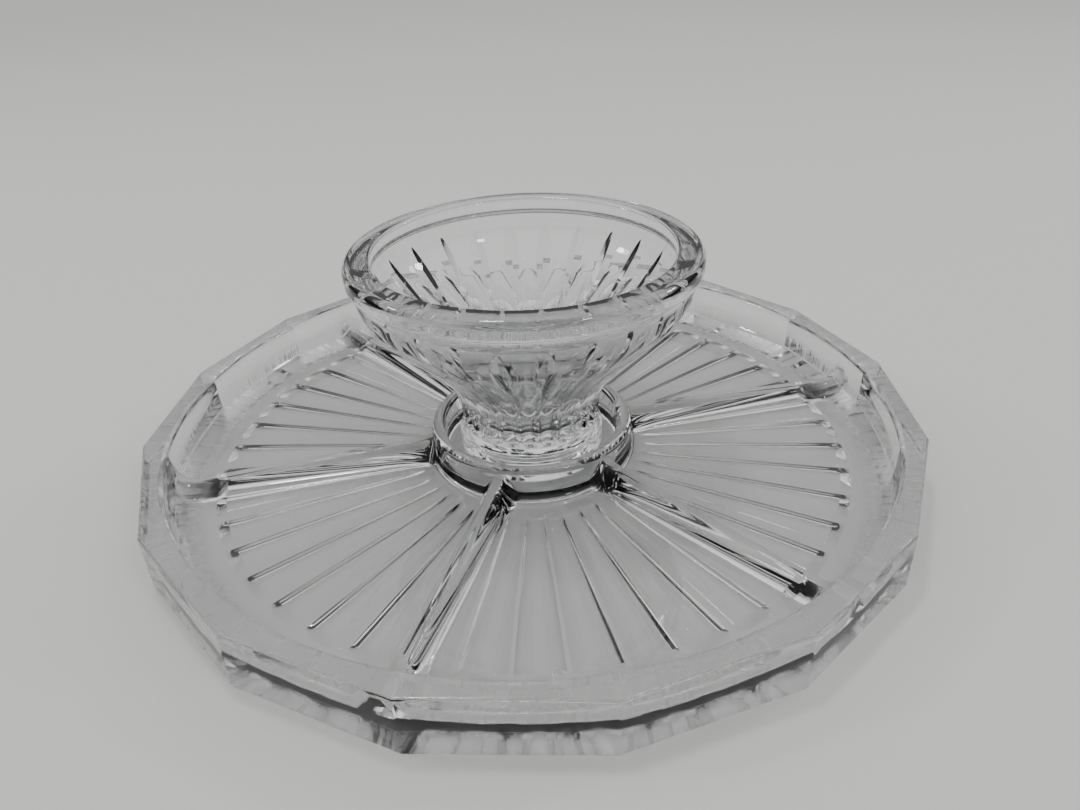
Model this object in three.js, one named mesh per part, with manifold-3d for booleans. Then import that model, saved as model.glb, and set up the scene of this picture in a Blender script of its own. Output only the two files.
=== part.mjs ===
// Chip and dip server in pressed clear glass: a sixteen-sided divided tray with a round collar in
// its middle, and a trumpet-shaped dip bowl whose foot stands loose inside that collar.
// Millimetres, +Z up. The origin is on the table, under the middle of the tray.

import * as THREE from "three";
import { mergeVertices } from "three/addons/utils/BufferGeometryUtils.js";
import Module from "manifold-3d";

// ---- Driving dimensions --------------------------------------------------------------------

// Tray body
const TRAY_CORNER_RADIUS = 152.5; // middle of the tray to a corner of its outline
const TRAY_SIDES = 16;
const TRAY_CORNER_ANGLE = 7.4; // degrees from +X to the first corner
const TRAY_HEIGHT = 22.5;
const TRAY_FLOOR = 4.0; // glass under a compartment
const RIM_WIDTH = 10.7; // corner radius less the radius of the round inside
const RIM_EASE = 0.9; // rounding of the outer edges
const RIM_INNER_ROUND = 2.2; // rounding of the rim's inner edge
const COVE_RADIUS = 11.0; // hollow curve between wall and floor

// Collar that keeps the bowl in the middle
const COLLAR_WALL = 5.4;
const COLLAR_RISE = 13.0; // top of the collar above the tray floor
const COLLAR_FLARE = 4.0; // how far the collar spreads at the floor

// Dividers between the compartments
const DIVIDER_COUNT = 6;
const DIVIDER_ANGLE = 11.8; // degrees from +X to the first divider
const DIVIDER_BASE_WIDTH = 13.0;
const DIVIDER_CREST_WIDTH = 4.0;
const DIVIDER_INNER_RISE = 9.6; // crest above the floor, at the collar
const DIVIDER_OUTER_RISE = 6.6; // crest above the floor, where the sweep to the wall starts
const DIVIDER_SWEEP = 9.0; // radius of the sweep from crest to wall, where the wall is high enough
const DIVIDER_TOP_SETBACK = 2.0; // end of the sweep below the rim

// Radial flutes under the floor
const FLUTE_COUNT = 44;
const FLUTE_ANGLE = 3.7; // degrees from +X to the first ridge between two flutes
const FLUTE_RING_WIDTH = 25.1; // plain ring outside the flutes, under a corner
const FLUTE_START = 1.0; // from the collar to the inner end of a flute
const FLUTE_DEPTH = 1.2; // at the outer end
const FLUTE_LAND = 1.6; // width of the ridge left between two flutes, at the outer end

// Dip bowl, heights above its own foot
const BOWL_HEIGHT = 85.7;
const LIP_RADIUS = 66.5;
const LIP_WIDTH = 10.2; // lip radius less the radius of the mouth
const LIP_ROUND = 3.4; // rounding over the lip
const LIP_DEPTH = 7.6; // height of the plain belt under the top of the lip
const LEDGE = 2.8; // step in under that belt
const NECK_BAND = 4.2; // plain upright band under the ledge, down to the top of the flare
const FLARE_BIAS = 1.3; // above 1 the trumpet opens later
const WAIST_RADIUS = 27.7;
const WAIST_HEIGHT = 13.6;
const FOOT_RADIUS = 29.3;
const FOOT_HEIGHT = 9.2;
const FOOT_ROUND = 1.2;
const SHOULDER_POWER = 2; // how late the shoulder over the foot turns up into the waist
const FOOT_HOLLOW_RADIUS = 21.0;
const FOOT_HOLLOW_DEPTH = 2.4;
const BOWL_WALL = 6.6;
const BOWL_BOTTOM = 24.0; // solid glass between foot and cavity
const CAVITY_JOIN = 0.28; // share of the flare's height where the cavity's bottom begins
const CAVITY_BOTTOM_POWER = 2.2; // roundness of the cavity's bottom

// Fits
const SEAT_GAP = 0.3; // foot of the bowl to the tray floor
const COLLAR_CLEARANCE = 6.3; // foot of the bowl to the collar, all round

// Fineness of the round surfaces
const ROUND_STEPS = 64;
const ARC_STEPS = 4;
const FLARE_STEPS = 9;
const BOTTOM_STEPS = 4;
const SHOULDER_STEPS = 3;
const FLUTE_STEPS = 40;
const OVERCUT = 1.0; // how far a cutter runs past the face that it cuts

// ---- Derived sizes -------------------------------------------------------------------------

const basinRadius = TRAY_CORNER_RADIUS - RIM_WIDTH;
const collarInner = FOOT_RADIUS + COLLAR_CLEARANCE;
const collarOuter = collarInner + COLLAR_WALL;
const collarTop = TRAY_FLOOR + COLLAR_RISE;
const bowlBase = TRAY_FLOOR + SEAT_GAP;
const fluteOuter = TRAY_CORNER_RADIUS - FLUTE_RING_WIDTH;
const fluteInner = collarOuter + FLUTE_START;
const mouthRadius = LIP_RADIUS - LIP_WIDTH;
const beltRadius = LIP_RADIUS - LEDGE;
const flareTop = BOWL_HEIGHT - LIP_DEPTH - NECK_BAND;

const wasm = await Module();
wasm.setup();

// ---- Helpers -------------------------------------------------------------------------------

const radians = THREE.MathUtils.degToRad;

function point(x, y) {
  return new THREE.Vector2(x, y);
}

// Points of a circular arc, from one angle to another in degrees, both ends included.
function arc(centreX, centreY, radius, from, to, steps = ARC_STEPS) {
  const points = [];
  for (let i = 0; i <= steps; i += 1) {
    const angle = radians(from + ((to - from) * i) / steps);
    points.push(point(centreX + radius * Math.cos(angle), centreY + radius * Math.sin(angle)));
  }
  return points;
}

// Turns a closed geometry into a solid that can be joined and cut.
function solid(geometry) {
  const bare = geometry.clone();
  bare.deleteAttribute("normal");
  bare.deleteAttribute("uv");
  const merged = mergeVertices(bare, 1e-4);
  return new wasm.Manifold(
    new wasm.Mesh({
      numProp: 3,
      vertProperties: new Float32Array(merged.attributes.position.array),
      triVerts: new Uint32Array(merged.index.array),
    }),
  );
}

// Turns an outline of radii and heights about the Z axis.
function turned(outline) {
  const geometry = new THREE.LatheGeometry(outline, ROUND_STEPS);
  geometry.rotateX(Math.PI / 2);
  return solid(geometry);
}

// Glass mesh made from a solid.
function glassMesh(name, body, colour) {
  const data = body.getMesh();
  const geometry = new THREE.BufferGeometry();
  geometry.setAttribute("position", new THREE.BufferAttribute(data.vertProperties, 3));
  geometry.setIndex(new THREE.BufferAttribute(data.triVerts, 1));
  geometry.computeVertexNormals();
  const material = new THREE.MeshStandardMaterial({ color: colour, roughness: 0.03, metalness: 0 });
  const mesh = new THREE.Mesh(geometry, material);
  mesh.name = name;
  return mesh;
}

// ---- Tray ----------------------------------------------------------------------------------

// Sixteen-sided block with eased edges, standing on the table.
function trayBlock() {
  const outline = new THREE.Shape(
    Array.from({ length: TRAY_SIDES }, (_, i) => {
      const angle = radians(TRAY_CORNER_ANGLE + (360 * i) / TRAY_SIDES);
      return point(TRAY_CORNER_RADIUS * Math.cos(angle), TRAY_CORNER_RADIUS * Math.sin(angle));
    }),
  );
  const geometry = new THREE.ExtrudeGeometry(outline, {
    depth: TRAY_HEIGHT - 2 * RIM_EASE,
    bevelThickness: RIM_EASE,
    bevelSize: RIM_EASE,
    bevelOffset: -RIM_EASE,
    bevelSegments: 2,
  });
  geometry.translate(0, 0, RIM_EASE);
  return solid(geometry);
}

// The space inside the rim, above the floor: floor, cove, wall and rounded inner edge.
function basin() {
  const top = TRAY_HEIGHT;
  const edge = basinRadius + RIM_INNER_ROUND;
  return turned([
    point(0, TRAY_FLOOR),
    ...arc(basinRadius - COVE_RADIUS, TRAY_FLOOR + COVE_RADIUS, COVE_RADIUS, -90, 0, 2 * ARC_STEPS),
    ...arc(edge, top - RIM_INNER_ROUND, RIM_INNER_ROUND, 180, 90),
    point(edge, top + OVERCUT),
    point(0, top + OVERCUT),
  ]);
}

// The collar before it is bored: straight upper wall, flared base and rounded top edge.
function collarBlank() {
  const round = COLLAR_WALL / 2;
  const low = TRAY_FLOOR - OVERCUT;
  return turned([
    point(0, low),
    point(collarOuter + COLLAR_FLARE, low),
    point(collarOuter + COLLAR_FLARE, TRAY_FLOOR),
    ...arc(collarOuter + COLLAR_FLARE, TRAY_FLOOR + COLLAR_FLARE, COLLAR_FLARE, 270, 180),
    ...arc(collarOuter - round, collarTop - round, round, 0, 90),
    point(0, collarTop),
  ]);
}

// What is bored out of the collar: the seat of the bowl's foot and the rounded mouth.
function collarBore() {
  const round = COLLAR_WALL / 2;
  return turned([
    point(0, TRAY_FLOOR),
    point(collarInner, TRAY_FLOOR),
    ...arc(collarInner + round, collarTop - round, round, 180, 90),
    point(collarInner + round, collarTop + OVERCUT),
    point(0, collarTop + OVERCUT),
  ]);
}

// One ridge along +X, from inside the collar into the wall. Its side view gives the sloping crest
// and the sweep up the wall, and its end view gives the roof shape.
function divider() {
  const start = collarInner;
  const end = basinRadius + RIM_INNER_ROUND;
  const low = TRAY_FLOOR - OVERCUT;
  const sweepTop = TRAY_HEIGHT - DIVIDER_TOP_SETBACK;
  const outerCrest = TRAY_FLOOR + DIVIDER_OUTER_RISE;
  const sweep = Math.min(DIVIDER_SWEEP, sweepTop - outerCrest);
  const side = new THREE.Shape([
    point(start, low),
    point(end, low),
    point(end, sweepTop),
    point(basinRadius, sweepTop),
    ...arc(basinRadius - sweep, outerCrest + sweep, sweep, 0, -90),
    point(start, TRAY_FLOOR + DIVIDER_INNER_RISE),
  ]);
  const sideView = new THREE.ExtrudeGeometry(side, { depth: DIVIDER_BASE_WIDTH, bevelEnabled: false });
  sideView.translate(0, 0, -DIVIDER_BASE_WIDTH / 2);
  sideView.rotateX(Math.PI / 2);

  const half = DIVIDER_BASE_WIDTH / 2;
  const crest = DIVIDER_CREST_WIDTH / 2;
  const roof = new THREE.Shape([
    point(-half, low),
    point(half, low),
    point(half, TRAY_FLOOR),
    point(crest, TRAY_FLOOR + DIVIDER_INNER_RISE),
    point(crest, TRAY_HEIGHT),
    point(-crest, TRAY_HEIGHT),
    point(-crest, TRAY_FLOOR + DIVIDER_INNER_RISE),
    point(-half, TRAY_FLOOR),
  ]);
  const endView = new THREE.ExtrudeGeometry(roof, { depth: end - start, bevelEnabled: false });
  endView.rotateX(Math.PI / 2);
  endView.rotateZ(Math.PI / 2);
  endView.translate(start, 0, 0);
  return solid(sideView).intersect(solid(endView));
}

// One tapered scoop along +X that cuts a radial flute into the underside. Its width and depth
// grow in step with the distance from the middle, and a facet of it, not an edge, lies on top.
function flute() {
  const halfWidth = (Math.PI * fluteOuter) / FLUTE_COUNT - FLUTE_LAND / 2;
  const outerRound = (halfWidth ** 2 + FLUTE_DEPTH ** 2) / (2 * FLUTE_DEPTH);
  const innerRound = (outerRound * fluteInner) / fluteOuter;
  const length = fluteOuter - fluteInner;
  const geometry = new THREE.CylinderGeometry(innerRound, outerRound, length, FLUTE_STEPS);
  geometry.rotateZ(Math.PI / 2);
  geometry.rotateX(Math.PI / FLUTE_STEPS);
  geometry.translate(fluteInner + length / 2, 0, 0);
  const position = geometry.attributes.position;
  for (let i = 0; i < position.count; i += 1) {
    const drop = ((outerRound - FLUTE_DEPTH) * position.getX(i)) / fluteOuter;
    position.setZ(i, position.getZ(i) - drop);
  }
  return solid(geometry);
}

// Copies of a solid, evenly spaced round the Z axis and joined.
function ring(body, count, firstAngle) {
  const copies = Array.from({ length: count }, (_, i) => body.rotate([0, 0, firstAngle + (360 * i) / count]));
  return wasm.Manifold.union(copies);
}

function tray() {
  const dividers = ring(divider(), DIVIDER_COUNT, DIVIDER_ANGLE);
  const flutes = ring(flute(), FLUTE_COUNT, FLUTE_ANGLE + 180 / FLUTE_COUNT);
  const open = basin().subtract(dividers).subtract(collarBlank()).add(collarBore());
  return trayBlock().subtract(open).subtract(flutes);
}

// ---- Dip bowl ------------------------------------------------------------------------------

// Outside of the trumpet at a share of its height: slow at the waist, steep in the middle and
// upright again under the ledge.
function flarePoint(share) {
  const rise = THREE.MathUtils.smoothstep(share ** FLARE_BIAS, 0, 1);
  return point(
    THREE.MathUtils.lerp(WAIST_RADIUS, beltRadius, rise),
    THREE.MathUtils.lerp(WAIST_HEIGHT, flareTop, share),
  );
}

// Inside of the trumpet, one wall thickness in from the outside.
function cavityPoint(share) {
  const step = 0.01;
  const along = flarePoint(Math.min(share + step, 1)).sub(flarePoint(share - step)).normalize();
  return flarePoint(share).add(point(-along.y, along.x).multiplyScalar(BOWL_WALL));
}

// Outline from the middle of the foot, up the outside, over the lip and down the cavity.
function bowlOutline() {
  const shoulder = Array.from({ length: SHOULDER_STEPS }, (_, i) =>
    point(
      THREE.MathUtils.lerp(FOOT_RADIUS, WAIST_RADIUS, i / SHOULDER_STEPS),
      THREE.MathUtils.lerp(FOOT_HEIGHT, WAIST_HEIGHT, (i / SHOULDER_STEPS) ** SHOULDER_POWER),
    ),
  );
  const flare = Array.from({ length: FLARE_STEPS + 1 }, (_, i) => flarePoint(i / FLARE_STEPS));
  const wall = Array.from({ length: FLARE_STEPS }, (_, i) =>
    cavityPoint(1 - ((1 - CAVITY_JOIN) * i) / (FLARE_STEPS - 1)),
  );
  const join = wall.at(-1);
  const bottom = Array.from({ length: BOTTOM_STEPS }, (_, i) => {
    const share = 1 - (i + 1) / BOTTOM_STEPS;
    return point(join.x * share, BOWL_BOTTOM + (join.y - BOWL_BOTTOM) * share ** CAVITY_BOTTOM_POWER);
  });
  return [
    point(0, FOOT_HOLLOW_DEPTH),
    point(FOOT_HOLLOW_RADIUS - FOOT_HOLLOW_DEPTH, FOOT_HOLLOW_DEPTH),
    point(FOOT_HOLLOW_RADIUS, 0),
    ...arc(FOOT_RADIUS - FOOT_ROUND, FOOT_ROUND, FOOT_ROUND, -90, 0, 2),
    ...shoulder,
    ...flare,
    point(beltRadius, BOWL_HEIGHT - LIP_DEPTH - LEDGE / 2),
    point(LIP_RADIUS, BOWL_HEIGHT - LIP_DEPTH),
    ...arc(LIP_RADIUS - LIP_ROUND, BOWL_HEIGHT - LIP_ROUND, LIP_ROUND, 0, 90),
    ...arc(mouthRadius + LIP_ROUND / 2, BOWL_HEIGHT - LIP_ROUND / 2, LIP_ROUND / 2, 90, 180),
    ...wall,
    ...bottom,
  ];
}

function bowl() {
  return turned(bowlOutline()).translate([0, 0, bowlBase]);
}

// ---- Assembly ------------------------------------------------------------------------------

const server = new THREE.Group();
server.add(glassMesh("serving_tray", tray(), 0xe9eef0));
server.add(glassMesh("dip_bowl", bowl(), 0xe4eaee));

export default server;
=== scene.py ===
import logging
import math
from dataclasses import dataclass, field
from enum import Enum

import bmesh
import bpy
from mathutils import Matrix, Vector


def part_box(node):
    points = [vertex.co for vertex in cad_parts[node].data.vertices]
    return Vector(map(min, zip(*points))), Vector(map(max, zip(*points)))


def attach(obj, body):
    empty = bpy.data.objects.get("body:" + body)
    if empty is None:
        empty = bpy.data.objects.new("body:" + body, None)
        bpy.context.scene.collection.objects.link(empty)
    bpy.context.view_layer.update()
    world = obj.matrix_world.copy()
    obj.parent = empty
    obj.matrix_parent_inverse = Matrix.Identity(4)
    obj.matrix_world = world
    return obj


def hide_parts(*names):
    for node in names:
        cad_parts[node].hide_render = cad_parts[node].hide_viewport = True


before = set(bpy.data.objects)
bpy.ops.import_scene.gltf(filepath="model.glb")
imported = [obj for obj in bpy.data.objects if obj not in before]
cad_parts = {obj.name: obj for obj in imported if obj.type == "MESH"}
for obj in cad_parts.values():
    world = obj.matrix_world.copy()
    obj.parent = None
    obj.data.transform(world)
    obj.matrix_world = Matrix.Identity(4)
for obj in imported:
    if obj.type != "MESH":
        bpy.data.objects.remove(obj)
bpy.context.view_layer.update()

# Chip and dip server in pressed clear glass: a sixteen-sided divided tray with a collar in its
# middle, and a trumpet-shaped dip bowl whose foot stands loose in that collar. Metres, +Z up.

log = logging.getLogger("chip_and_dip_server")

MM = 0.001
TURN = 2 * math.pi
POLE_RADIUS = MM / 1000
MERGE_DISTANCE = MM / 100


# ---- Curves and ramps ----------------------------------------------------------------------


def lerp(low: float, high: float, share: float) -> float:
    """Value at a share of the way from low to high."""
    return low + (high - low) * share


def clamp(value: float) -> float:
    """Value held between 0 and 1."""
    return min(max(value, 0.0), 1.0)


def smooth(value: float) -> float:
    """Smooth step from 0 to 1."""
    held = clamp(value)
    return held * held * (3 - 2 * held)


def eased(value: float, ease: float) -> float:
    """Ramp from 0 to 1 that is straight in the middle and rounded at both ends.

    Args:
        value: Place along the ramp, 0 to 1.
        ease: Share of the ramp that each rounded end takes.

    Returns:
        Height of the ramp, 0 to 1.
    """
    held = clamp(value)
    scale = 1 / (2 * ease * (1 - ease))
    if held < ease:
        return held * held * scale
    if held > 1 - ease:
        return 1 - (1 - held) ** 2 * scale
    return (held - ease / 2) / (1 - ease)


def arc(centre: tuple[float, float], radius: float, start: float, end: float, steps: int) -> list:
    """Points of a circular arc in the plane of radius and height.

    Args:
        centre: Radius and height of the arc's centre.
        radius: Radius of the arc.
        start: Angle of the first point, in degrees.
        end: Angle of the last point, in degrees.
        steps: Number of steps between the points.

    Returns:
        List of radius and height pairs, both ends included.
    """
    angles = [math.radians(lerp(start, end, i / steps)) for i in range(steps + 1)]
    return [(centre[0] + radius * math.cos(a), centre[1] + radius * math.sin(a)) for a in angles]


def line(start: tuple[float, float], end: tuple[float, float], steps: int) -> list:
    """Evenly spaced points from start to end in the plane of radius and height.

    Args:
        start: Radius and height of the first point.
        end: Radius and height of the last point.
        steps: Number of steps between the points.

    Returns:
        List of radius and height pairs, both ends included.
    """
    shares = [i / steps for i in range(steps + 1)]
    return [(lerp(start[0], end[0], s), lerp(start[1], end[1], s)) for s in shares]


def crowded(column: int, half_count: int, inner: int, inner_angle: float, half_pitch: float) -> float:
    """Angle of a column when some columns are gathered over a feature in the middle of a pitch.

    Args:
        column: Column number counted from the middle of the feature, negative to one side.
        half_count: Number of columns in half a pitch.
        inner: Number of those columns that lie on the feature.
        inner_angle: Angle that half the feature takes, in radians.
        half_pitch: Angle of half a pitch, in radians.

    Returns:
        Angle from the middle of the feature, in radians.
    """
    count = abs(column)
    if count <= inner:
        angle = inner_angle * count / inner
    else:
        angle = lerp(inner_angle, half_pitch, (count - inner) / (half_count - inner))
    return math.copysign(angle, column)


# ---- Turned glass --------------------------------------------------------------------------


@dataclass(frozen=True)
class Station:
    """One ring of a turned glass surface, before the pattern is pressed into it.

    Args:
        radius: Distance from the axis.
        height: Height above the table.
        ridge: Radius and height that a full divider gives this ring, or None.
        corners: Share of the sixteen-sided outline.
        dividers: Share by which the columns gather over the dividers.
        flutes: Share by which the columns follow the flutes.
        depth: Depth of the flutes.
        grooves: Share by which the columns gather over the grooves.
        crisp: True where the ring is a crisp edge.
    """

    radius: float
    height: float
    ridge: tuple[float, float] | None = None
    corners: float = 0.0
    dividers: float = 0.0
    flutes: float = 0.0
    depth: float = 0.0
    grooves: float = 0.0
    crisp: bool = False


@dataclass
class TurnedGlass:
    """A closed glass piece made by spinning an outline and pressing a pattern into it."""

    name: str
    body: str
    node: str
    slot: str
    columns: int

    def stations(self) -> list[Station]:
        """Rings of the outline, from the middle of the underside round to the middle of the top."""
        raise NotImplementedError

    def place(self, station: Station, column: int) -> Vector:
        """Place of the point where a ring and a column cross."""
        raise NotImplementedError

    def crisp_column(self, station: Station, column: int) -> bool:
        """True where a column is a crisp edge as it passes a ring."""
        return False

    def spun(self, stations: list[Station]) -> bmesh.types.BMesh:
        """Spins the outline about the axis.

        Args:
            stations: Rings of the outline.

        Returns:
            Mesh with one ring of vertices for each station, and the ring's number on each vertex.
        """
        mesh = bmesh.new()
        ring = mesh.verts.layers.int.new("ring")
        outline = []
        for number, station in enumerate(stations):
            vertex = mesh.verts.new((max(station.radius, POLE_RADIUS), 0.0, station.height))
            vertex[ring] = number
            outline.append(vertex)
        edges = [mesh.edges.new(pair) for pair in zip(outline, outline[1:])]
        bmesh.ops.spin(
            mesh,
            geom=outline + edges,
            cent=(0, 0, 0),
            axis=(0, 0, 1),
            dvec=(0, 0, 0),
            angle=TURN,
            space=Matrix.Identity(4),
            steps=self.columns,
            use_merge=True,
            use_normal_flip=False,
            use_duplicate=False,
        )
        return mesh

    def build(self) -> bpy.types.Object:
        """Makes the piece and lets it stand for its solid in the frame.

        Returns:
            The finished object, riding on its body.
        """
        stations = self.stations()
        mesh = self.spun(stations)
        ring = mesh.verts.layers.int["ring"]
        spots = {}
        for vertex in mesh.verts:
            number = vertex[ring]
            column = round(math.atan2(vertex.co.y, vertex.co.x) / TURN * self.columns) % self.columns
            spots[vertex] = (number, column)
        for vertex, (number, column) in spots.items():
            vertex.co = self.place(stations[number], column)
        for edge in mesh.edges:
            (ring_a, column_a), (ring_b, column_b) = (spots[v] for v in edge.verts)
            if ring_a == ring_b:
                edge.smooth = not stations[ring_a].crisp
            elif column_a == column_b:
                both = all(self.crisp_column(stations[n], column_a) for n in (ring_a, ring_b))
                edge.smooth = not both
        bmesh.ops.remove_doubles(mesh, verts=mesh.verts, dist=MERGE_DISTANCE)
        bmesh.ops.recalc_face_normals(mesh, faces=mesh.faces)
        for face in mesh.faces:
            face.smooth = True
        data = bpy.data.meshes.new(self.name)
        mesh.to_mesh(data)
        mesh.free()
        piece = bpy.data.objects.new(self.name, data)
        bpy.context.scene.collection.objects.link(piece)
        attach(piece, self.body)
        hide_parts(self.node)
        return piece

    def dress(self, piece: bpy.types.Object, finish: "GlassFinish") -> None:
        """Gives the piece its glass."""
        piece.data.materials.append(finish.material())


# ---- Serving tray --------------------------------------------------------------------------


@dataclass
class ServingTray(TurnedGlass):
    """Sixteen-sided tray with six dividers, a collar and a fluted underside."""

    name: str = "tray_glass_body"
    body: str = "tray"
    node: str = "serving_tray"
    slot: str = "tray_glass"
    columns: int = 528  # a whole number for each corner, divider and flute
    sides: int = 16
    corner_angle: float = math.radians(7.4)
    corner_column: int = -6
    corner_crowding: float = 0.65
    edge_ease: float = 1.1 * MM
    rim_width: float = 10.7 * MM
    rim_inner_round: float = 2.2 * MM
    floor: float = 4.0 * MM
    floor_rings: int = 22
    cove: float = 11.0 * MM
    collar_outer: float = 41.0 * MM
    collar_wall: float = 5.4 * MM
    collar_top: float = 17.0 * MM
    collar_flare: float = 4.0 * MM
    seat_fillet: float = 1.2 * MM
    divider_count: int = 6
    divider_angle: float = math.radians(11.8)
    divider_half: float = 6.6 * MM
    divider_crest: float = 0.16  # share of the half width that the crest takes
    divider_ease: float = 0.24
    divider_columns: int = 14
    divider_spread: float = 0.28  # how much wider a divider is at its ends
    spread_length: float = 13.0 * MM
    crest_inner: float = 13.0 * MM
    crest_outer: float = 10.6 * MM
    crest_lift: float = 1.1 * MM  # rise of the crest where it meets the collar
    crest_lift_length: float = 9.0 * MM
    sweep: float = 9.0 * MM
    flute_count: int = 44
    flute_angle: float = math.radians(3.7)
    flute_column: int = -12
    flute_inner: float = 42.0 * MM
    flute_outer: float = 127.4 * MM
    flute_depth: float = 2.0 * MM
    flute_start: float = 16.0 * MM
    flute_end: float = 3.8 * MM
    flute_margin: float = 1.5 * MM
    flute_rings: tuple[int, int, int] = (7, 14, 5)  # over the start, the middle and the end
    flute_power: float = 2.5
    flute_bow: float = 1.1 * MM  # how much further out the middle of a flute reaches than its sides
    land_half: float = 0.8 * MM  # half width of the ridge between two flutes, at the outer end
    height: float = field(init=False)
    corner_radius: float = field(init=False)

    def __post_init__(self) -> None:
        """Reads the tray's outer size from the frame."""
        low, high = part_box(self.node)
        self.height = high[2] - low[2]
        self.corner_radius = (high[0] - low[0]) / 2 / math.cos(self.corner_angle)

    @property
    def basin(self) -> float:
        """Radius of the upright wall inside the rim."""
        return self.corner_radius - self.rim_width

    def underside(self) -> list[Station]:
        """Rings under the tray, from the middle to the bottom edge of the outer wall."""
        inner, outer = self.flute_inner, self.flute_outer
        radii = [lerp(0, inner, s) for s in (0, 0.3, 0.6, 0.85)]
        rings = [Station(r, 0.0, flutes=smooth(r / inner)) for r in radii]
        full, band = inner + self.flute_start, outer - self.flute_end
        first, middle, last = self.flute_rings
        radii = [lerp(inner, full, i / first) for i in range(first)]
        radii += [lerp(full, band, i / middle) for i in range(middle)]
        radii += [lerp(band, outer, i / last) for i in range(last + 1)]
        for radius in radii:
            opening = smooth((radius - inner) / self.flute_start)
            closing = clamp((outer - radius) / self.flute_end)
            depth = self.flute_depth * radius / outer * opening * closing
            rings.append(Station(radius, 0.0, flutes=1.0, depth=depth, crisp=radius in (band, outer)))
        rings.append(Station(outer + self.flute_margin, 0.0, flutes=1.0))
        edge = self.corner_radius - self.edge_ease
        for share in (0.3, 0.65):
            rings.append(Station(lerp(outer, edge, share), 0.0, flutes=1 - share, corners=share))
        return rings

    def outer_wall(self) -> list[Station]:
        """Rings of the sixteen-sided wall with its eased bottom and top edges."""
        radius, ease, top = self.corner_radius, self.edge_ease, self.height
        points = arc((radius - ease, ease), ease, -90, 0, steps=5)
        points += line((radius, ease), (radius, top - ease), steps=6)[1:-1]
        points += arc((radius - ease, top - ease), ease, 0, 90, steps=5)
        return [Station(r, z, corners=1.0) for r, z in points]

    def rim(self) -> list[Station]:
        """Rings of the flat rim, where the outline turns from sixteen-sided to round."""
        edge = self.corner_radius - self.edge_ease
        inner = self.basin + self.rim_inner_round
        shares = (0.25, 0.5, 0.75)
        return [Station(lerp(edge, inner, s), self.height, corners=1 - s, dividers=s) for s in shares]

    def basin_wall(self) -> list[Station]:
        """Rings from the rim's inner edge down the wall and the cove to the floor."""
        top, edge = self.height, self.rim_inner_round
        rounding = arc((self.basin + edge, top - edge), edge, 90, 180, steps=7)
        rings = [Station(r, z, dividers=1.0) for r, z in rounding]
        wall = line((self.basin, top - edge), (self.basin, self.floor + self.cove), steps=3)[1:-1]
        hollow = arc((self.basin - self.cove, self.floor + self.cove), self.cove, 0, -90, steps=12)
        points = wall + hollow
        centre = (self.basin - self.sweep, self.crest_outer + self.sweep)
        ridges = arc(centre, self.sweep, 0, -90, len(points) - 1)
        rings += [Station(r, z, ridge=e, dividers=1.0) for (r, z), e in zip(points, ridges)]
        return rings

    def crest(self, radius: float) -> float:
        """Height of a divider's crest where it runs over the floor."""
        outer = self.basin - self.sweep
        share = clamp((radius - self.collar_outer) / (outer - self.collar_outer))
        near = 1 - clamp((radius - self.collar_outer) / self.crest_lift_length)
        return lerp(self.crest_inner, self.crest_outer, share) + self.crest_lift * near**2

    def basin_floor(self) -> list[Station]:
        """Rings of the floor, from the cove in to the flare of the collar."""
        start = self.basin - self.cove
        end = self.collar_outer + self.collar_flare
        count = self.floor_rings
        radii = [lerp(start, end, i / count) for i in range(1, count)]
        return [Station(r, self.floor, ridge=(r, self.crest(r)), dividers=1.0) for r in radii]

    def collar(self) -> list[Station]:
        """Rings up the outside of the collar, over its round top and down its bore to the seat."""
        outer, flare, low = self.collar_outer, self.collar_flare, self.floor
        half = self.collar_wall / 2
        inner = outer - self.collar_wall
        shoulder = self.collar_top - half
        points = arc((outer + flare, low + flare), flare, 270, 180, steps=6)
        points += line((outer, low + flare), (outer, shoulder), steps=8)[1:-1]
        rings = []
        for r, z in points:
            lifted = (r, max(z, self.crest(r)))
            rings.append(Station(r, z, ridge=lifted, dividers=1.0))
        over = arc((outer - half, shoulder), half, 0, 180, steps=14)
        over += line((inner, shoulder), (inner, low + self.seat_fillet), steps=4)[1:-1]
        over += arc((inner - self.seat_fillet, low + self.seat_fillet), self.seat_fillet, 0, -90, steps=5)
        over += [(inner * s, low) for s in (0.7, 0.35, 0)]
        return rings + [Station(r, z, dividers=1.0) for r, z in over]

    def stations(self) -> list[Station]:
        """Rings of the whole outline."""
        rings = self.underside() + self.outer_wall() + self.rim()
        return rings + self.basin_wall() + self.basin_floor() + self.collar()

    def divider_spot(self, column: int, radius: float) -> tuple[float, float]:
        """Angle of a column gathered over the dividers, and its share of a divider's height.

        Args:
            column: Column number, counted from the first divider.
            radius: Distance from the axis.

        Returns:
            Angle in radians, and 0 off the divider to 1 on its crest.
        """
        count = self.columns // self.divider_count
        half = count // 2
        local = (column + half) % count - half
        number = (column - local) // count
        radius = max(radius, self.collar_outer)
        to_end = min(radius - self.collar_outer, abs(self.basin - radius))
        spread = self.divider_spread * (1 - clamp(to_end / self.spread_length)) ** 2
        reach = math.asin(self.divider_half * (1 + spread) / radius)
        pitch = TURN / self.divider_count
        angle = crowded(local, half, self.divider_columns, reach, pitch / 2)
        across = clamp(abs(local) / self.divider_columns)
        share = 1 - eased((across - self.divider_crest) / (1 - self.divider_crest), self.divider_ease)
        return self.divider_angle + number * pitch + angle, share

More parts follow.
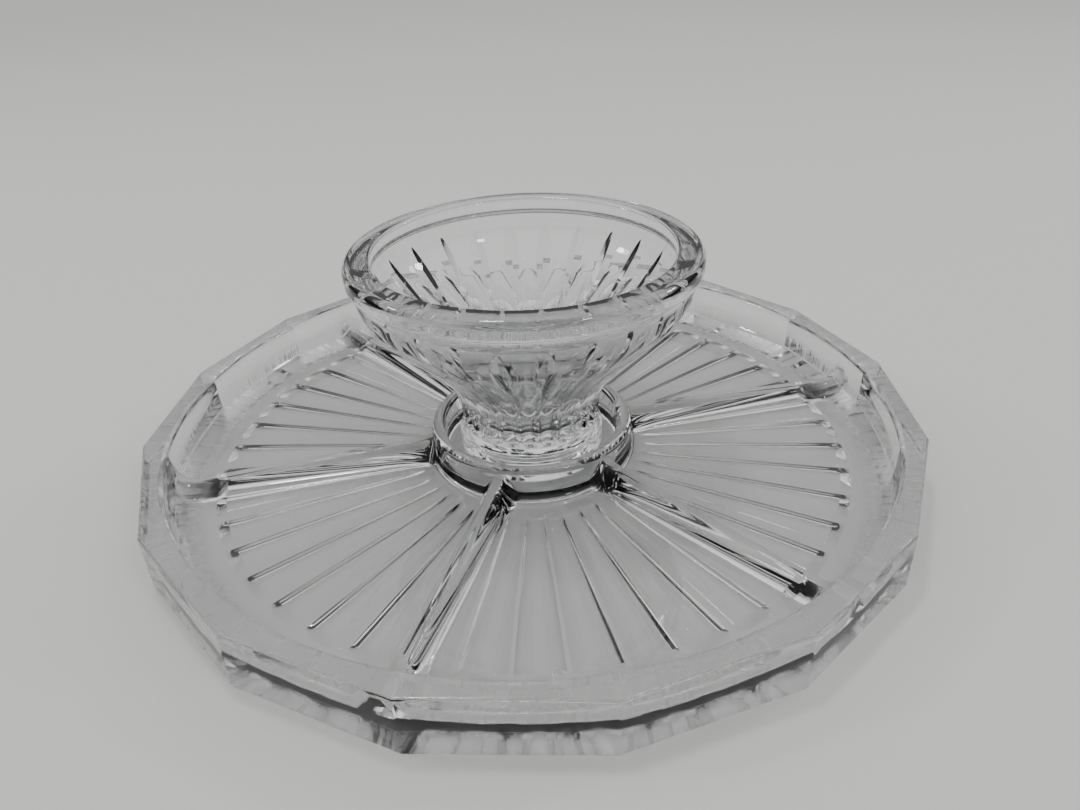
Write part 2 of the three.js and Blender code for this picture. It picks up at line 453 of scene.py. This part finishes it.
    def corner_spot(self, column: int) -> tuple[float, float]:
        """Angle of a column gathered over the corners, and its share of the corner's radius.

        Args:
            column: Column number, counted from the first divider.

        Returns:
            Angle in radians, and the outline's radius there as a share of the corner radius.
        """
        count = self.columns // self.sides
        half = count // 2
        local = (column - self.corner_column + half) % count - half
        number = (column - self.corner_column - local) // count
        pitch = TURN / self.sides
        along = local / (count / 2)
        keep = self.corner_crowding
        angle = pitch / 2 * ((1 - keep) * along + keep * along**3)
        share = math.cos(pitch / 2) / math.cos(pitch / 2 - abs(angle))
        return self.corner_angle + number * pitch + angle, share

    def flute_spot(self, column: int) -> tuple[float, float]:
        """Angle of a column gathered over the ridges between flutes, and its place in a flute.

        Args:
            column: Column number, counted from the first divider.

        Returns:
            Angle in radians, and 0 in the middle of a flute to 1 on the ridge beside it.
        """
        count = self.columns // self.flute_count
        half = count // 2
        local = (column - self.flute_column + half) % count - half
        number = (column - self.flute_column - local) // count
        pitch = TURN / self.flute_count
        land = self.land_half / self.flute_outer
        angle = crowded(local, half, 1, land, pitch / 2)
        across = clamp((pitch / 2 - abs(angle)) / (pitch / 2 - land))
        return self.flute_angle + number * pitch + angle, across

    def place(self, station: Station, column: int) -> Vector:
        """Place of the point where a ring and a column cross.

        Args:
            station: The ring.
            column: Column number, counted from the first divider.

        Returns:
            The point, in the frame.
        """
        radius, height = station.radius, station.height
        angle = self.divider_angle + TURN * column / self.columns
        even = angle
        if station.dividers:
            spot, share = self.divider_spot(column, radius)
            angle += station.dividers * (spot - even)
            if station.ridge:
                radius = lerp(radius, station.ridge[0], share)
                height = lerp(height, station.ridge[1], share)
        if station.corners:
            spot, share = self.corner_spot(column)
            angle += station.corners * (spot - even)
            radius *= lerp(1.0, share, station.corners)
        if station.flutes:
            spot, across = self.flute_spot(column)
            angle += station.flutes * (spot - even)
            height += station.depth * (1 - across**self.flute_power)
            if station.depth:
                near_end = smooth((radius - self.flute_outer) / (3 * self.flute_end) + 1)
                radius -= self.flute_bow * across**4 * near_end
        return Vector((radius * math.cos(angle), radius * math.sin(angle), height))

    def crisp_column(self, station: Station, column: int) -> bool:
        """True along both edges of the ridges between flutes."""
        count = self.columns // self.flute_count
        local = (column - self.flute_column) % count
        return station.depth > 0 and local in (1, count - 1)


# ---- Dip bowl ------------------------------------------------------------------------------


@dataclass
class DipBowl(TurnedGlass):
    """Trumpet-shaped bowl with a plain belt, cut grooves and flutes, on a round foot."""

    name: str = "dip_bowl_glass_body"
    body: str = "bowl"
    node: str = "dip_bowl"
    slot: str = "bowl_glass"
    columns: int = 480  # a whole number for each groove
    lip_width: float = 10.2 * MM
    lip_round: float = 3.4 * MM
    mouth_round: float = 1.7 * MM
    lip_depth: float = 7.6 * MM
    ledge: float = 2.8 * MM
    neck_band: float = 4.2 * MM
    waist_radius: float = 27.7 * MM
    waist_height: float = 13.6 * MM
    flare_bias: float = 1.3
    foot_radius: float = 29.3 * MM
    foot_height: float = 9.2 * MM
    foot_round: float = 1.2 * MM
    foot_hollow_radius: float = 21.0 * MM
    foot_hollow_depth: float = 2.4 * MM
    wall: float = 6.6 * MM
    bottom: float = 24.0 * MM
    cavity_join: float = 0.28
    cavity_power: float = 2.2
    cavity_rings: tuple[int, int] = (20, 10)  # down the wall and over the bottom
    groove_count: int = 24
    groove_angle: float = math.radians(5.75)
    groove_columns: int = 4
    groove_top: float = 73.4 * MM  # heights above the foot
    groove_bottom: float = 43.0 * MM
    groove_share: float = 0.46  # half width of a groove at its widest, as a share of half a pitch
    groove_slope: float = 0.5  # depth of a groove over its half width
    lens_bias: float = 0.85  # below 1 a groove is widest nearer its top
    line_half: float = 0.6 * MM  # half width of the thin groove that runs on down the flare
    tip_length: float = 6.0 * MM
    tip_start: float = 0.35  # how far a groove's tip has grown to the thin groove where it starts
    top_fade: float = 2.0 * MM
    foot_fade: float = 3.0 * MM
    flute_depth: float = 1.7 * MM
    flute_slope: float = 0.52  # depth of a flute over its half width, at most
    flute_top: float = 58.5 * MM
    flute_top_drop: float = 3.0 * MM  # how much lower the top of a flute is at its sides
    flute_top_ease: float = 2.6 * MM
    flute_foot: float = 13.8 * MM
    flute_foot_rise: float = 1.5 * MM
    flute_foot_ease: float = 1.2 * MM
    flute_round: float = 0.2  # share of a flute's end that each of its edges is rounded over
    flare_rings: int = 92
    flare_crowding: float = 1.3  # above 1 the rings gather at the waist
    shoulder_rings: int = 9
    base: float = field(init=False)
    height: float = field(init=False)
    lip_radius: float = field(init=False)

    def __post_init__(self) -> None:
        """Reads the bowl's outer size from the frame."""
        low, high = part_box(self.node)
        self.base = low[2]
        self.height = high[2] - low[2]
        self.lip_radius = (high[0] - low[0]) / 2

    @property
    def belt_radius(self) -> float:
        """Radius of the neck under the ledge."""
        return self.lip_radius - self.ledge

    @property
    def flare_top(self) -> float:
        """Height above the foot where the flare turns upright."""
        return self.height - self.lip_depth - self.neck_band

    @property
    def ledge_height(self) -> float:
        """Height above the foot where the neck turns out into the ledge."""
        return self.height - self.lip_depth - self.ledge / 2

    def flare(self, share: float) -> tuple[float, float]:
        """Radius and height of the outside at a share of the flare's height."""
        radius = lerp(self.waist_radius, self.belt_radius, smooth(share**self.flare_bias))
        return radius, lerp(self.waist_height, self.flare_top, share)

    def cavity(self, share: float) -> tuple[float, float]:
        """Radius and height of the inside, one wall in from the flare."""
        step = 0.01
        (r0, z0), (r1, z1) = self.flare(max(share - step, 0)), self.flare(min(share + step, 1))
        run = math.hypot(r1 - r0, z1 - z0)
        r, z = self.flare(share)
        return r - self.wall * (z1 - z0) / run, z + self.wall * (r1 - r0) / run

    def foot(self) -> list[Station]:
        """Rings of the hollow foot and its plain upright side."""
        radius, edge = self.foot_radius, self.foot_round
        hollow, deep = self.foot_hollow_radius, self.foot_hollow_depth
        edge_in = hollow - 2 * deep
        points = [(0, deep), (edge_in * 0.5, deep), (edge_in, deep)]
        points += [(lerp(edge_in, hollow, s), deep * (1 - smooth(s))) for s in (0.25, 0.5, 0.75, 1.0)]
        points += line((hollow, 0), (radius - edge, 0), steps=3)[1:-1]
        points += arc((radius - edge, edge), edge, -90, 0, steps=5)
        points += line((radius, edge), (radius, self.foot_height - edge), steps=4)[1:]
        return [Station(r, z) for r, z in points]

    def shoulder(self) -> list[Station]:
        """Rings over the shoulder between the foot and the waist."""
        rings = []
        count = self.shoulder_rings
        shares = [0.0, 0.07, 0.14] + [math.sqrt(i / count) for i in range(1, count)]
        for share in shares:
            r = lerp(self.foot_radius, self.waist_radius, share)
            z = lerp(self.foot_height, self.waist_height, share**2)
            rings.append(Station(r, z, grooves=smooth(share * 2.5)))
        return rings

    def outside(self) -> list[Station]:
        """Rings of the flare, the neck and the ledge."""
        rings = []
        for i in range(self.flare_rings):
            r, z = self.flare((i / self.flare_rings) ** self.flare_crowding)
            rings.append(Station(r, z, grooves=1.0))
        for share in (0, 0.3, 0.6, 0.93):
            z = lerp(self.flare_top, self.ledge_height, share)
            rings.append(Station(self.belt_radius, z, grooves=1 - smooth(share)))
        return rings

    def lip(self) -> list[Station]:
        """Rings from the ledge up the belt, over the lip and into the mouth."""
        radius, edge = self.lip_radius, self.ledge / 2
        over, mouth = self.lip_round, self.mouth_round
        opening = radius - self.lip_width
        under = self.ledge_height
        points = arc((self.belt_radius + edge, under), edge, 180, 90, steps=4)
        points += arc((radius - edge, under + 2 * edge), edge, -90, 0, steps=4)
        points += line((radius, under + 2 * edge), (radius, self.height - over), steps=3)[1:-1]
        points += arc((radius - over, self.height - over), over, 0, 90, steps=9)
        points += arc((opening + mouth, self.height - mouth), mouth, 90, 180, steps=6)
        return [Station(r, z) for r, z in points]

    def inside(self) -> list[Station]:
        """Rings down the inside to the middle of its bottom."""
        wall, bottom = self.cavity_rings
        points = [self.cavity(1 - (1 - self.cavity_join) * i / wall) for i in range(wall + 1)]
        join = points[-1]
        for i in range(1, bottom + 1):
            share = 1 - i / bottom
            height = self.bottom + (join[1] - self.bottom) * share**self.cavity_power
            points.append((join[0] * share, height))
        return [Station(r, z) for r, z in points]

    def stations(self) -> list[Station]:
        """Rings of the whole outline."""
        return self.foot() + self.shoulder() + self.outside() + self.lip() + self.inside()

    def groove_half(self, radius: float, height: float) -> float:
        """Half width of a groove: a pointed lens under the neck and a thin line below it.

        Args:
            radius: Distance from the axis.
            height: Height above the foot.

        Returns:
            Half width in metres.
        """
        half_pitch = math.pi * radius / self.groove_count
        along = (self.groove_top - height) / (self.groove_top - self.groove_bottom)
        lens = math.sin(math.pi * clamp(along) ** self.lens_bias) if 0 < along < 1 else 0.0
        widest = half_pitch * self.groove_share
        tip = self.line_half * smooth((self.groove_top - height) / self.tip_length + self.tip_start)
        return max(widest * lens, tip)

    def place(self, station: Station, column: int) -> Vector:
        """Place of the point where a ring and a column cross.

        Args:
            station: The ring.
            column: Column number, counted from the first groove.

        Returns:
            The point, in the frame.
        """
        count = self.columns // self.groove_count
        half = count // 2
        local = (column + half) % count - half
        number = (column - local) // count
        pitch = TURN / self.groove_count
        even = pitch * local / count
        radius, height, angle = station.radius, station.height, even
        if station.grooves:
            groove = self.groove_half(radius, height)
            reach = groove / radius
            spot = crowded(local, half, self.groove_columns, reach, pitch / 2)
            angle = lerp(even, spot, station.grooves)
            radius -= station.grooves * self.pressed(station, abs(spot), groove)
        turn = self.groove_angle + number * pitch + angle
        return Vector((radius * math.cos(turn), radius * math.sin(turn), self.base + height))

    def pressed(self, station: Station, angle: float, groove: float) -> float:
        """Depth of the pattern at an angle from the middle of a groove.

        Args:
            station: The ring.
            angle: Angle from the middle of the nearest groove, in radians.
            groove: Half width of the groove there.

        Returns:
            Depth below the plain surface.
        """
        across = angle * station.radius
        half_pitch = math.pi * station.radius / self.groove_count
        below_tip = smooth((self.groove_top - station.height) / self.top_fade)
        above_foot = smooth((station.height - self.flute_foot) / self.foot_fade)
        if across < groove:
            return self.groove_slope * (groove - across) * below_tip * above_foot
        width = half_pitch - groove
        if width <= 0:
            return 0.0
        place = clamp((half_pitch - across) / width)
        foot = self.flute_foot + self.flute_foot_rise * place**2
        top = self.flute_top - self.flute_top_drop * place**3
        upper = eased((top - station.height) / self.flute_top_ease, self.flute_round)
        lower = eased((station.height - foot) / self.flute_foot_ease, self.flute_round)
        depth = min(self.flute_depth, self.flute_slope * width)
        return depth * (1 - place**2) * upper * lower

    def crisp_column(self, station: Station, column: int) -> bool:
        """True along the bottom and both edges of a groove."""
        count = self.columns // self.groove_count
        local = min(column % count, count - column % count)
        inside = self.flute_foot < station.height < self.groove_top
        return station.grooves == 1.0 and inside and local in (0, self.groove_columns)


# ---- Finishes ------------------------------------------------------------------------------


Feed = bpy.types.NodeSocket | str | float | tuple[float, float, float]


class GroupMaker:
    """Adds linked nodes to a node group, a line of arithmetic at a time."""

    def __init__(self, group: bpy.types.NodeTree, entry: bpy.types.Node) -> None:
        """Keeps the group and its input node."""
        self.group = group
        self.entry = entry

    def feed(self, socket: bpy.types.NodeSocket, value: Feed) -> None:
        """Gives a socket its value.

        Args:
            socket: The socket.
            value: Another socket, the name of one of the group's inputs, or a constant.
        """
        if isinstance(value, str):
            value = self.entry.outputs[value]
        if isinstance(value, bpy.types.NodeSocket):
            self.group.links.new(value, socket)
        else:
            socket.default_value = value

    def math(self, operation: str, *values: Feed) -> bpy.types.NodeSocket:
        """Result of an operation on sockets, inputs and constants."""
        node = self.group.nodes.new("ShaderNodeMath")
        node.operation = operation
        for socket, value in zip(node.inputs, values):
            self.feed(socket, value)
        return node.outputs[0]

    def noise(self, vector: Feed, scale: str, detail: float) -> bpy.types.NodeSocket:
        """Noise from 0 to 1 at a place."""
        node = self.group.nodes.new("ShaderNodeTexNoise")
        self.feed(node.inputs["Vector"], vector)
        self.feed(node.inputs["Scale"], scale)
        node.inputs["Detail"].default_value = detail
        return node.outputs["Fac"]

    def ramp(self, value: Feed, low: Feed, high: Feed) -> bpy.types.NodeSocket:
        """Ramp from 0 to 1 as a value goes from low to high."""
        node = self.group.nodes.new("ShaderNodeMapRange")
        for name, end in (("Value", value), ("From Min", low), ("From Max", high)):
            self.feed(node.inputs[name], end)
        return node.outputs["Result"]

    def vector(self, operation: str, output: str, *values: Feed) -> bpy.types.NodeSocket:
        """Result of an operation on vectors, by the name of the node's output."""
        node = self.group.nodes.new("ShaderNodeVectorMath")
        node.operation = operation
        for socket, value in zip(node.inputs, values):
            self.feed(socket, value)
        return node.outputs[output]


SKIN_INPUTS = {
    "Ripple Scale": 40.0,
    "Mark Scale": 900.0,
    "Smoothness": 0.02,
    "Haze": 0.05,
    "Streak Scale": 40.0,
    "Streak Share": 0.0,
    "Streak Radius": 0.145,
    "Streak Top": 0.01,
    "Rest Wear": 0.0,
    "Rest Start": 0.1275,
    "Rest Full": 0.139,
    "Rest Top": 0.0006,
}


def surface_group() -> bpy.types.NodeTree:
    """Node group for the skin of pressed glass.

    It has a slow mould ripple, a fine haze of use marks, upright mould streaks low on the outside
    of a wide piece, and the wear of the ring that the piece rests on.

    Returns:
        The group, with the outputs Height and Roughness.
    """
    group = bpy.data.node_groups.new("PressedGlassSkin", "ShaderNodeTree")
    face = group.interface
    for name, value in SKIN_INPUTS.items():
        face.new_socket(name, in_out="INPUT", socket_type="NodeSocketFloat").default_value = value
    face.new_socket("Position", in_out="INPUT", socket_type="NodeSocketVector")
    face.new_socket("Height", in_out="OUTPUT", socket_type="NodeSocketFloat")
    face.new_socket("Roughness", in_out="OUTPUT", socket_type="NodeSocketFloat")
    entry, leave = group.nodes.new("NodeGroupInput"), group.nodes.new("NodeGroupOutput")
    make = GroupMaker(group, entry)
    parts = group.nodes.new("ShaderNodeSeparateXYZ")
    make.feed(parts.inputs["Vector"], "Position")
    height = parts.outputs["Z"]
    flat = make.vector("MULTIPLY", "Vector", "Position", (1.0, 1.0, 0.0))
    radius = make.vector("LENGTH", "Value", flat)

    ripple = make.noise("Position", "Ripple Scale", detail=2.0)
    marks = make.ramp(make.noise("Position", "Mark Scale", detail=2.0), low=0.56, high=0.74)
    haze = make.math("MULTIPLY", marks, make.ramp(ripple, low=0.4, high=0.75))
    clean = make.math("MULTIPLY_ADD", haze, "Haze", "Smoothness")

    streaks = make.noise(make.vector("NORMALIZE", "Vector", flat), "Streak Scale", detail=3.0)
    outside = make.math("GREATER_THAN", radius, "Streak Radius")
    low = make.math("LESS_THAN", height, "Streak Top")
    share = make.math("MULTIPLY", make.math("MULTIPLY", outside, low), "Streak Share")
    make.feed(leave.inputs["Height"], make.math("MULTIPLY_ADD", streaks, share, ripple))

    beyond = make.ramp(radius, "Rest Start", "Rest Full")
    under = make.math("LESS_THAN", height, "Rest Top")
    worn = make.math("MULTIPLY", make.math("MULTIPLY", beyond, under), "Rest Wear")
    streaky = make.math("MULTIPLY_ADD", worn, make.ramp(streaks, low=0.28, high=0.6), clean)
    make.feed(leave.inputs["Roughness"], streaky)
    return group


@dataclass(frozen=True)
class GlassFinish:
    """Clear pressed glass.

    Args:
        name: Name of the material.
        skin: Node group for the glass's skin.
        tint: Colour of the glass.
        ripple_scale: How many mould ripples there are to a metre.
        ripple_depth: Depth of a ripple.
        smoothness: Roughness of clean glass.
        haze: Extra roughness where the glass is marked by use.
        streaks: Depth of the upright streaks low on the outside, as a share of the ripple's.
        wear: Extra roughness of the ring that the piece rests on.
        index: Refractive index.
    """

    name: str
    skin: bpy.types.NodeTree
    tint: tuple[float, float, float] = (0.975, 0.985, 0.98)
    ripple_scale: float = 45.0
    ripple_depth: float = 0.05 * MM
    smoothness: float = 0.012
    haze: float = 0.06
    streaks: float = 0.0
    wear: float = 0.0
    index: float = 1.53

    def material(self) -> bpy.types.Material:
        """Builds the material.

        Returns:
            A material with clear glass and a patterned skin.
        """
        material = bpy.data.materials.new(self.name)
        material.use_nodes = True
        nodes, links = material.node_tree.nodes, material.node_tree.links
        shader = nodes["Principled BSDF"]
        shader.inputs["Base Color"].default_value = (*self.tint, 1.0)
        shader.inputs["Transmission Weight"].default_value = 1.0
        shader.inputs["IOR"].default_value = self.index
        where = nodes.new("ShaderNodeTexCoord")
        skin = nodes.new("ShaderNodeGroup")
        skin.node_tree = self.skin
        skin.inputs["Ripple Scale"].default_value = self.ripple_scale
        skin.inputs["Smoothness"].default_value = self.smoothness
        skin.inputs["Haze"].default_value = self.haze
        skin.inputs["Streak Share"].default_value = self.streaks
        skin.inputs["Rest Wear"].default_value = self.wear
        bump = nodes.new("ShaderNodeBump")
        bump.inputs["Distance"].default_value = self.ripple_depth
        bump.inputs["Strength"].default_value = 1.0
        links.new(where.outputs["Object"], skin.inputs["Position"])
        links.new(skin.outputs["Height"], bump.inputs["Height"])
        links.new(skin.outputs["Roughness"], shader.inputs["Roughness"])
        links.new(bump.outputs["Normal"], shader.inputs["Normal"])
        return material


# ---- Studio --------------------------------------------------------------------------------


class Softbox(Enum):
    """Soft round lights: place, diameter and power."""

    TOP = ((-0.25, 0.2, 1.5), 0.2, 4.0)
    LEFT = ((-1.2, 0.15, 0.9), 0.16, 2.2)
    RIGHT = ((1.15, 0.4, 0.85), 0.16, 2.2)
    FRONT = ((0.75, -0.85, 1.15), 0.16, 2.0)


@dataclass
class Studio:
    """Pale floor, soft lights and the camera.

    Args:
        floor_half: Half the side of the floor.
        floor_gap: Gap between the floor and the glass.
        aim_height: Height of the point on the axis that the camera turns about.
        distance: Camera to that point.
        elevation: Angle of the camera above it, in degrees.
        yaw: Turn of the camera to the left, in degrees.
        pitch: Turn of the camera up, in degrees.
        roll: Turn of the camera about its own line of sight, in degrees.
        sensor: Width of the camera's sensor in millimetres.
        lens: Focal length in millimetres.
        lamp_aim: Height that the lights are turned to.
        paper: Colour of the floor.
        paper_roughness: Roughness of the floor.
        backdrop: Brightness of the surroundings as the camera sees them.
        dome: Brightness of the dome of light against the upward part of its direction.
    """

    floor_half: float = 6.0
    floor_gap: float = 0.05 * MM
    aim_height: float = 22.5 * MM
    distance: float = 343.7 * MM
    elevation: float = 30.84
    yaw: float = -0.63
    pitch: float = -0.25
    roll: float = 2.66
    sensor: float = 36.0
    lens: float = 27.96
    lamp_aim: float = 30.0 * MM
    paper: tuple[float, float, float] = (0.62, 0.62, 0.61)
    paper_roughness: float = 0.9
    backdrop: float = 0.5
    dome: dict[str, float] = field(
        default_factory=lambda: {"From Min": 0.0, "From Max": 0.8, "To Min": 0.05, "To Max": 1.05}
    )

    def camera(self) -> None:
        """Makes the camera at the viewing angle."""
        data = bpy.data.cameras.new("camera")
        data.sensor_width = self.sensor
        data.lens = self.lens
        data.clip_start = 0.01
        eye = bpy.data.objects.new("camera", data)
        bpy.context.scene.collection.objects.link(eye)
        tilt = math.radians(self.elevation)
        back = Vector((0.0, -math.cos(tilt), math.sin(tilt)))
        forward = -back
        right = Vector((1.0, 0.0, 0.0))
        above = right.cross(forward)
        turn = Matrix.Rotation(math.radians(self.yaw), 3, above)
        forward, right = turn @ forward, turn @ right
        turn = Matrix.Rotation(math.radians(self.pitch), 3, right)
        forward, above = turn @ forward, turn @ above
        turn = Matrix.Rotation(math.radians(self.roll), 3, forward)
        right, above = turn @ right, turn @ above
        axes = Matrix((right, above, -forward)).transposed().to_4x4()
        place = Vector((0.0, 0.0, self.aim_height)) + back * self.distance
        eye.matrix_world = Matrix.Translation(place) @ axes
        bpy.context.scene.camera = eye

    def floor(self) -> None:
        """Makes the plain pale floor."""
        mesh = bmesh.new()
        bmesh.ops.create_grid(mesh, x_segments=1, y_segments=1, size=self.floor_half)
        bmesh.ops.translate(mesh, verts=mesh.verts, vec=(0, 0, -self.floor_gap))
        data = bpy.data.meshes.new("floor")
        mesh.to_mesh(data)
        mesh.free()
        floor = bpy.data.objects.new("floor", data)
        bpy.context.scene.collection.objects.link(floor)
        material = bpy.data.materials.new("floor_paper")
        material.use_nodes = True
        shader = material.node_tree.nodes["Principled BSDF"]
        shader.inputs["Base Color"].default_value = (*self.paper, 1.0)
        shader.inputs["Roughness"].default_value = self.paper_roughness
        floor.data.materials.append(material)

    def lamps(self) -> None:
        """Makes the soft round lights, each turned to the middle of the piece."""
        for box in Softbox:
            place, width, power = box.value
            data = bpy.data.lights.new(box.name.lower(), "AREA")
            data.shape = "DISK"
            data.size = width
            data.energy = power
            light = bpy.data.objects.new(box.name.lower(), data)
            bpy.context.scene.collection.objects.link(light)
            toward = Vector((0.0, 0.0, self.lamp_aim)) - Vector(place)
            light.location = place
            light.rotation_euler = toward.to_track_quat("-Z", "Y").to_euler()

    def surroundings(self) -> None:
        """Makes a dome of light that is dim near the horizon, and looks plain to the camera."""
        world = bpy.data.worlds.new("surroundings")
        world.use_nodes = True
        nodes, links = world.node_tree.nodes, world.node_tree.links
        dome = nodes["Background"]
        dome.inputs["Color"].default_value = (1.0, 1.0, 1.0, 1.0)
        where, parts = nodes.new("ShaderNodeTexCoord"), nodes.new("ShaderNodeSeparateXYZ")
        brightness = nodes.new("ShaderNodeMapRange")
        brightness.interpolation_type = "SMOOTHSTEP"
        for name, value in self.dome.items():
            brightness.inputs[name].default_value = value
        links.new(where.outputs["Generated"], parts.inputs["Vector"])
        links.new(parts.outputs["Z"], brightness.inputs["Value"])
        links.new(brightness.outputs["Result"], dome.inputs["Strength"])
        pale = nodes.new("ShaderNodeBackground")
        pale.inputs["Color"].default_value = (self.backdrop, self.backdrop, self.backdrop, 1.0)
        path, mix = nodes.new("ShaderNodeLightPath"), nodes.new("ShaderNodeMixShader")
        links.new(path.outputs["Is Camera Ray"], mix.inputs[0])
        links.new(dome.outputs[0], mix.inputs[1])
        links.new(pale.outputs[0], mix.inputs[2])
        links.new(mix.outputs[0], nodes["World Output"].inputs["Surface"])
        bpy.context.scene.world = world

    def build(self) -> None:
        """Makes the whole studio."""
        self.camera()
        self.floor()
        self.lamps()
        self.surroundings()


# ---- Assembly ------------------------------------------------------------------------------


def main() -> None:
    """Builds the studio, the tray and the bowl."""
    logging.basicConfig(level=logging.INFO, format="%(name)s: %(message)s")
    Studio().build()
    skin = surface_group()
    tray = ServingTray()
    piece = tray.build()
    tray.dress(piece, GlassFinish("tray_pressed_glass", skin, streaks=8.0, wear=0.5))
    log.info("%s: %d faces", piece.name, len(piece.data.polygons))
    bowl = DipBowl()
    piece = bowl.build()
    bowl.dress(piece, GlassFinish("bowl_pressed_glass", skin, ripple_scale=60.0))
    log.info("%s: %d faces", piece.name, len(piece.data.polygons))


if __name__ == "__main__":
    main()
